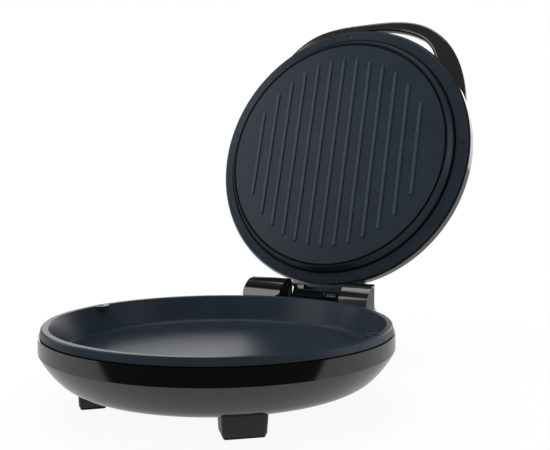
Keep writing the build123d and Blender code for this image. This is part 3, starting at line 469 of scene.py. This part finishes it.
# %% [markdown]
# ## The housing's plastic
# The two shells, the handle and the hinge are injection-moulded in black, polished in the mould:
# a hard gloss over a body that has almost no colour of its own. A flat black with a low
# roughness comes close, but looks like ink. What makes it plastic is slight: a slow change of
# tone where the melt flowed, faint handling marks in the gloss, and a ripple of a few
# hundredths of a millimetre that bends the reflections.

# %% Polished black plastic
plastic_black = colour(0.0028, 0.0028, 0.0030)
plastic_soft_black = colour(0.0050, 0.0050, 0.0052)
flow_size = 0.06
mark_size = 0.018
ripple_size = 0.004
marks_start, marks_full = 0.52, 0.75     # levels of the noise of the marks
plastic_roughness = 0.09
mark_roughness = 0.05                    # what marks and flow add to it
flow_roughness = 0.02


def housing_plastic(name):
    """Gloss black from a polished mould, with faint handling marks in the gloss."""
    finish = Finish(name, {"IOR": 1.55, "Specular IOR Level": 0.75})
    flow = finish.noise(flow_size, detail=3)
    worn = finish.noise(mark_size, detail=5, roughness=0.6)
    marks = finish.ramp(worn, (marks_start, 0), (marks_full, 1))
    ripple = finish.noise(ripple_size, detail=1)
    rough = plastic_roughness + marks * mark_roughness + flow * flow_roughness
    return finish.shade(colour=finish.mix(flow, plastic_black, plastic_soft_black), roughness=rough,
                        normal=finish.bump(ripple, strength=0.1, depth=0.00003))


keep("housing_plastic", housing_plastic("housing_plastic"))

# %% [markdown]
# ## Plastic without polish
# The feet, the terminal block and the lamps' holder come from unpolished moulds. Spark erosion
# leaves a fine even texture on such a mould, and the plastic takes it over, so the highlights
# are broad and soft. One function makes all three. Only their colours and their gloss differ.

# %% Feet, terminal block and lamp holder
def moulded_plastic(name, dark, light, roughness):
    """Fine spark-eroded texture of an unpolished mould."""
    finish = Finish(name, {"IOR": 1.5})
    texture = finish.noise(grain_size=0.0007, detail=3)
    flow = finish.noise(grain_size=0.02, detail=3)
    return finish.shade(colour=finish.mix(flow, dark, light),
                        roughness=roughness + texture * 0.1,
                        normal=finish.bump(texture, strength=0.4, depth=0.00006))


keep("foot_plastic", moulded_plastic(
    "foot_plastic", roughness=0.36,
    dark=colour(0.006, 0.006, 0.0065), light=colour(0.010, 0.010, 0.0105)))
keep("terminal_plastic", moulded_plastic(
    "terminal_plastic", roughness=0.45,
    dark=colour(0.72, 0.68, 0.60), light=colour(0.80, 0.77, 0.70)))
keep("lamp_holder_plastic", moulded_plastic(
    "lamp_holder_plastic", roughness=0.5,
    dark=colour(0.62, 0.62, 0.60), light=colour(0.72, 0.72, 0.70)))

# %% [markdown]
# ## The metals
# Rolled sheet and drawn rod carry fine lines along their length. Noise makes such lines when its
# grains are stretched, and a slower noise adds a little tarnish. The screws and the hinge's rod
# are blackened, the heating elements are dulled by heat, and the reflectors behind them stay
# bright.

# %% Screws and rod, elements, brackets, reflectors and thermostats
def drawn_metal(name, dark, light, roughness, stretch=(1, 1, 1)):
    """Rolled or drawn metal: a fine grain along its length, and a little tarnish."""
    finish = Finish(name, {"Metallic": 1.0})
    lines = finish.noise(grain_size=0.0006, detail=3, stretch=stretch)
    tarnish = finish.noise(grain_size=0.012, detail=4)
    return finish.shade(colour=finish.mix(tarnish, dark, light),
                        roughness=roughness + lines * 0.12 + tarnish * 0.08,
                        normal=finish.bump(lines, strength=0.15, depth=0.00003))


keep("screw_steel", drawn_metal(
    "screw_steel", roughness=0.34,
    dark=colour(0.045, 0.045, 0.05), light=colour(0.12, 0.12, 0.125)))
keep("element_sheath", drawn_metal(
    "element_sheath", roughness=0.42,
    dark=colour(0.13, 0.13, 0.13), light=colour(0.24, 0.23, 0.22)))
keep("bracket_steel", drawn_metal(
    "bracket_steel", roughness=0.3, stretch=(1, 0.1, 1),
    dark=colour(0.42, 0.42, 0.43), light=colour(0.6, 0.6, 0.6)))
keep("reflector_sheet", drawn_metal(
    "reflector_sheet", roughness=0.22, stretch=(1, 0.06, 1),
    dark=colour(0.60, 0.60, 0.61), light=colour(0.74, 0.74, 0.75)))
keep("thermostat_case", drawn_metal(
    "thermostat_case", roughness=0.32,
    dark=colour(0.50, 0.49, 0.47), light=colour(0.66, 0.65, 0.63)))

# %% [markdown]
# ## Rubber
# The pads under the feet and the gland at the back are matte black rubber that has gathered some
# dust. The dust is a paler tone in slow patches. The skin is a very fine noise, which breaks up
# what little gloss there is.

# %% Pads and gland
def rubber(name):
    """Matte black rubber with a fine skin."""
    finish = Finish(name, {"Specular IOR Level": 0.3})
    skin = finish.noise(grain_size=0.0005, detail=3)
    dust = finish.noise(grain_size=0.01, detail=4)
    return finish.shade(colour=finish.mix(dust, colour(0.012, 0.012, 0.012), colour(0.03, 0.03, 0.03)),
                        roughness=0.75 + skin * 0.15,
                        normal=finish.bump(skin, strength=0.5, depth=0.00008))


keep("pad_rubber", rubber("pad_rubber"))

# %% [markdown]
# ## Woven sleeves
# The leads and the thermal fuse lie close to the elements, so they wear a braided glass sleeve.
# A braid is two sets of threads that cross. Two sets of waves multiplied by each other give its
# high points, without modelling a thread.

# %% Leads and thermal fuse
weave_scale = 400.0              # of the wave texture: a thread every 0.8 mm
weave_waver = 0.5


def woven_sleeve(name, dark, light):
    """Braided glass sleeve: a fine weave of two waves."""
    finish = Finish(name, {"Specular IOR Level": 0.3})
    waves = [finish.node("ShaderNodeTexWave", {"wave_type": "BANDS", "bands_direction": axis},
                         {"Vector": finish.place, "Scale": weave_scale, "Distortion": weave_waver})
             for axis in ("X", "Y")]
    weave = waves[0] * waves[1]
    return finish.shade(colour=finish.mix(weave, dark, light),
                        roughness=0.7 + weave * 0.2,
                        normal=finish.bump(weave, strength=0.6, depth=0.0002))


keep("fuse_sleeve", woven_sleeve(
    "fuse_sleeve", dark=colour(0.55, 0.52, 0.46), light=colour(0.80, 0.78, 0.72)))
keep("lead_insulation", woven_sleeve(
    "lead_insulation", dark=colour(0.50, 0.49, 0.47), light=colour(0.74, 0.73, 0.70)))

# %% [markdown]
# ## The lamps on the lid
# Two small lenses stand on top of the lid, a red one for power and a green one that lights when
# the plates are hot. They are switched off here, so they don't glow: tinted clear plastic over
# a dark hole, lit a little by the light that finds its way in. A third of the light passes, and
# the tint does the rest.

# %% Red and green lens
def lens(name, deep, bright):
    """Tinted clear plastic over a lamp: deeper and brighter in faint ripples."""
    finish = Finish(name, {"IOR": 1.49, "Transmission Weight": 0.35})
    ripple = finish.noise(grain_size=0.0015, detail=1)
    return finish.shade(colour=finish.mix(ripple, deep, bright),
                        roughness=0.08 + ripple * 0.05,
                        normal=finish.bump(ripple, strength=0.1, depth=0.00005))


keep("red_lens", lens("red_lens", deep=colour(0.22, 0.006, 0.004), bright=colour(0.60, 0.03, 0.02)))
keep("green_lens", lens("green_lens", deep=colour(0.005, 0.12, 0.02), bright=colour(0.03, 0.42, 0.08)))

# %% [markdown]
# ## Dress the construction
# The construction's record names a finish for every piece, so one loop dresses them all. Only
# the upper plate gets its own version of the coating.

# %% Give every piece its finish
for part in frame["record"]["subparts"]:
    piece = nodes[part["node"]]
    piece.data.materials.clear()
    piece.data.materials.append(finishes[part["material_slot"]])
nodes["lid_plate"].data.materials[0] = plate_coating

# %% [markdown]
# ## The screws
# Screws hold the pan and the upper plate: two at the sides of the pan, three round the lid. Up
# close each has a low domed head with a cross cut into it, and the cross catches the light. The
# construction only has plain ones in the right places, so each is replaced by a turned profile,
# spun round its axis. The cross could be a bump in the material, but a real cut also shows in
# the mesh, so a boolean takes it out.

# %% Turn one screw
head_radius = 0.0031
head_height = 0.0016
head_dome = ((0, 0), (0.55, 0.06), (0.88, 0.25), (1, 0.55), (1, 1))  # shares across and down
shank_radius = 0.0015
shank_length = 0.014
tip_share = 0.4                  # of the shank's radius
spin_steps = 40
same_place = 1e-7


def turned_screw():
    """Mesh of one screw: the top of its head at the origin, its shank along -Z."""
    shape = bmesh.new()
    outline = [(across * head_radius, -down * head_height) for across, down in head_dome]
    outline += [(shank_radius, -head_height), (shank_radius, -shank_length),
                (tip_share * shank_radius, -shank_length - shank_radius),
                (0, -shank_length - shank_radius)]
    points = [shape.verts.new((x, 0, z)) for x, z in outline]
    edges = [shape.edges.new(pair) for pair in zip(points, points[1:])]
    bmesh.ops.spin(shape, geom=points + edges, cent=(0, 0, 0), axis=(0, 0, 1),
                   angle=2 * pi, steps=spin_steps, use_merge=True)
    bmesh.ops.remove_doubles(shape, verts=shape.verts, dist=same_place)
    bmesh.ops.recalc_face_normals(shape, faces=shape.faces)
    turned = bpy.data.meshes.new("turned_screw")
    shape.to_mesh(turned)
    shape.free()
    return turned


plain_screw = turned_screw()
print("faces of the turned screw:", len(plain_screw.polygons))

# %% [markdown]
# The driver's cross is two bars that meet in the middle and narrow towards the bottom. The
# boolean that takes them out is slow and exact, so it runs once, on one screw, and the result is
# copied to every place.

# %% Cut the cross
cross_reach = 0.0037
cross_width = 0.0009
cross_depth = 0.0011
cross_taper = 0.45               # of the reach, at the bottom of the cut


def cross_cutter():
    """Mesh of the driver's cross: two tapered bars that meet in the middle."""
    shape = bmesh.new()
    for quarter in (0, pi / 2):
        bar = bmesh.ops.create_cube(shape, size=1)["verts"]
        for corner in bar:
            corner.co.x *= cross_taper if corner.co.z < 0 else 1
        size = Matrix.Diagonal((cross_reach, cross_width, 2 * cross_depth, 1))
        bmesh.ops.transform(shape, matrix=Matrix.Rotation(quarter, 4, "Z") @ size, verts=bar)
    cutter = bpy.data.meshes.new("cross_cutter")
    shape.to_mesh(cutter)
    shape.free()
    return cutter


def cut_out(body_mesh, cutter_mesh, name):
    """The body with the cutter taken out of it, as a new mesh."""
    body = bpy.data.objects.new(name, body_mesh)
    cutter = bpy.data.objects.new(name + "_cutter", cutter_mesh)
    for thing in (body, cutter):
        bpy.context.scene.collection.objects.link(thing)
    cut = body.modifiers.new("cut", "BOOLEAN")
    cut.operation = "DIFFERENCE"
    cut.solver = "EXACT"
    cut.use_self = True
    cut.object = cutter
    finished = body.evaluated_get(bpy.context.evaluated_depsgraph_get())
    result = bpy.data.meshes.new_from_object(finished)
    bpy.data.objects.remove(body)
    bpy.data.objects.remove(cutter)
    return result


screw_mesh = cut_out(plain_screw, cross_cutter(), "screw")
print("faces with the cross cut out:", len(screw_mesh.polygons))

# %% [markdown]
# Where each screw belongs is read from the construction, so nothing has to be measured twice. A
# node of screws is one mesh of loose triangles: once its doubles are merged, walking along its
# edges finds the separate screws, and the outermost points of each give the middle of its head.
# The walk starts at the points in the order of the mesh, so each run finds the screws in the
# same order.

# %% Find the screws of the construction
merge_distance = 1e-6
head_plane = 1e-5


def loose_solids(node):
    """The corner points of each separate solid in a node, read from a merged copy of its mesh."""
    shape = bmesh.new()
    shape.from_mesh(nodes[node].data)
    bmesh.ops.remove_doubles(shape, verts=shape.verts, dist=merge_distance)
    waiting = set(shape.verts)
    solids = []
    for first in shape.verts:
        if first not in waiting:
            continue
        waiting.discard(first)
        reached = [first]
        for corner in reached:
            for edge in corner.link_edges:
                other = edge.other_vert(corner)
                if other in waiting:
                    waiting.discard(other)
                    reached.append(other)
        solids.append([corner.co.copy() for corner in reached])
    shape.free()
    return solids


def head_place(points, outward, turn):
    """Matrix of a screw's head: at the middle of its outermost points, looking outward."""
    reach = max(point.dot(outward) for point in points)
    rim = [point for point in points if point.dot(outward) > reach - head_plane]
    low = Vector([min(point[i] for point in rim) for i in range(3)])
    high = Vector([max(point[i] for point in rim) for i in range(3)])
    aim = outward.to_track_quat("Z", "Y").to_matrix().to_4x4()
    return Matrix.Translation((low + high) / 2) @ aim @ Matrix.Rotation(turn, 4, "Z")


for name in ("pan_screws", "lid_plate_screws"):
    print("screws in", name + ":", len(loose_solids(name)))

# %% [markdown]
# Each set of screws becomes one piece, which stands for the construction's node and rides on the
# same body. Screws are never tightened to the same angle, so each cross is turned a little
# further than the last.

# %% Put the turned screws in their place
first_turn, next_turn = 0.4, 0.9     # no two crosses of a set line up
sharp_edge = radians(35)


def fit_screws(name, node, outward, body):
    """Replace a node of plain screws by turned ones, each turned a little differently."""
    shape = bmesh.new()
    for count, points in enumerate(loose_solids(node)):
        single = bmesh.new()
        single.from_mesh(screw_mesh)
        place = head_place(points, outward, first_turn + next_turn * count)
        bmesh.ops.transform(single, matrix=place, verts=single.verts)
        placed = bpy.data.meshes.new("placed")
        single.to_mesh(placed)
        single.free()
        shape.from_mesh(placed)
        bpy.data.meshes.remove(placed)
    joined = bpy.data.meshes.new(name)
    shape.to_mesh(joined)
    shape.free()
    joined.materials.append(finishes["screw_steel"])
    joined.shade_smooth()
    joined.set_sharp_from_angle(angle=sharp_edge)
    screws = bpy.data.objects.new(name, joined)
    bpy.context.scene.collection.objects.link(screws)
    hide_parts(node)
    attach(screws, body)
    print(name, "ride on the", body)


fit_screws("pan_rim_screws", "pan_screws", Vector((0, 0, 1)), "base")
fit_screws("upper_plate_screws", "lid_plate_screws", lid_outward, "lid")
